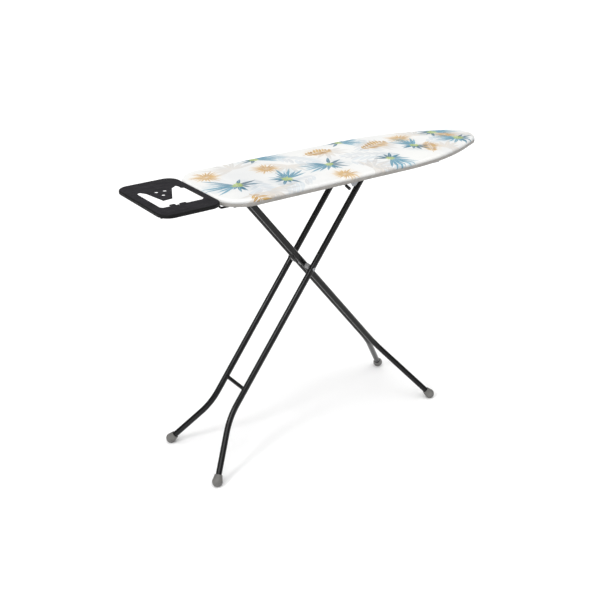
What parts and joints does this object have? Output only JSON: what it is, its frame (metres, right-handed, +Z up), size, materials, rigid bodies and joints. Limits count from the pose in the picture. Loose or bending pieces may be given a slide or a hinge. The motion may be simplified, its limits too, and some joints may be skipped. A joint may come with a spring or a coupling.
{
  "type": "folding ironing board",
  "caption": "Folding ironing board with a cotton cover on a padded mesh top, crossed steel tube legs, a pull-out iron rest and a height lever.",
  "frame": {"origin": "on the floor, below the middle of the overall length and width", "axes": "+X along the board towards its pointed nose, +Y across it to the left, +Z up; the iron rest is at -X"},
  "size_m": [1.1799, 0.3084, 0.85],
  "materials": {
    "cover_cotton": "printed cotton",
    "hem_tape": "woven tape",
    "felt": "needled felt",
    "frame_paint": "satin grey",
    "zinc_steel": "zinc plated",
    "black_paint": "gloss black",
    "rest_paint": "textured black",
    "foot_plastic": "moulded grey",
    "spacer_plastic": "moulded light grey",
    "black_plastic": "moulded black"
  },
  "bodies": {
    "board": {"cover": "cover_cotton", "cover_hem": "hem_tape", "pad": "felt", "mesh_top": "frame_paint", "rim_frame": "frame_paint", "tail_rail": "frame_paint", "hinge_rail": "frame_paint", "middle_rail": "frame_paint", "front_rail": "frame_paint", "bracket_screws": "zinc_steel", "rack_screws": "zinc_steel", "socket_screws": "zinc_steel", "hinge_bracket": "zinc_steel", "rack_left": "zinc_steel", "rack_right": "zinc_steel", "lever_spring": "zinc_steel", "lever_bracket": "zinc_steel", "lever_clip": "spacer_plastic", "rest_socket_left": "black_plastic", "rest_socket_right": "black_plastic"},
    "inner_legs": {"inner_leg_left": "black_paint", "inner_leg_right": "black_paint", "inner_foot_left": "foot_plastic", "inner_foot_right": "foot_plastic", "hinge_rod": "zinc_steel", "hinge_bush_left": "spacer_plastic", "hinge_bush_right": "spacer_plastic", "hinge_cap_left": "zinc_steel", "hinge_cap_right": "zinc_steel", "cross_axle": "zinc_steel", "cross_spacer_left": "spacer_plastic", "cross_spacer_right": "spacer_plastic", "cross_sleeve": "zinc_steel"},
    "outer_legs": {"outer_leg_left": "black_paint", "outer_leg_right": "black_paint", "outer_foot_left": "foot_plastic", "outer_foot_right": "foot_plastic", "height_bar": "zinc_steel", "leg_brace": "black_paint"},
    "lever": {"release_lever": "black_paint", "lever_grip": "black_plastic"},
    "iron_rest": {"iron_rest_plate": "rest_paint", "rest_rod_left": "black_paint", "rest_rod_right": "black_paint"}
  },
  "joints": [
    {"name": "leg_fold", "type": "hinge", "parent": "board", "child": "inner_legs", "pos_m": [-0.2794, 0, 0.81], "axis": [0, -1, 0], "range_deg": [0, 48.9]},
    {"name": "leg_cross", "type": "hinge", "parent": "inner_legs", "child": "outer_legs", "pos_m": [-0.07327, 0, 0.55406], "axis": [0, 1, 0], "range_deg": [0, 101]},
    {"name": "lever_turn", "type": "hinge", "parent": "board", "child": "lever", "pos_m": [0.05, -0.08, 0.822], "axis": [-1, 0, 0], "range_deg": [0, 10], "stiffness_Nm_per_rad": 0.5, "springref_deg": -8.59},
    {"name": "rest_slide", "type": "slide", "parent": "board", "child": "iron_rest", "axis": [-1, 0, 0], "range_m": [0, 0.09]}
  ],
  "couplings": [
    {"joint": "leg_cross", "follows": "leg_fold", "ratio": 2.0447}
  ]
}
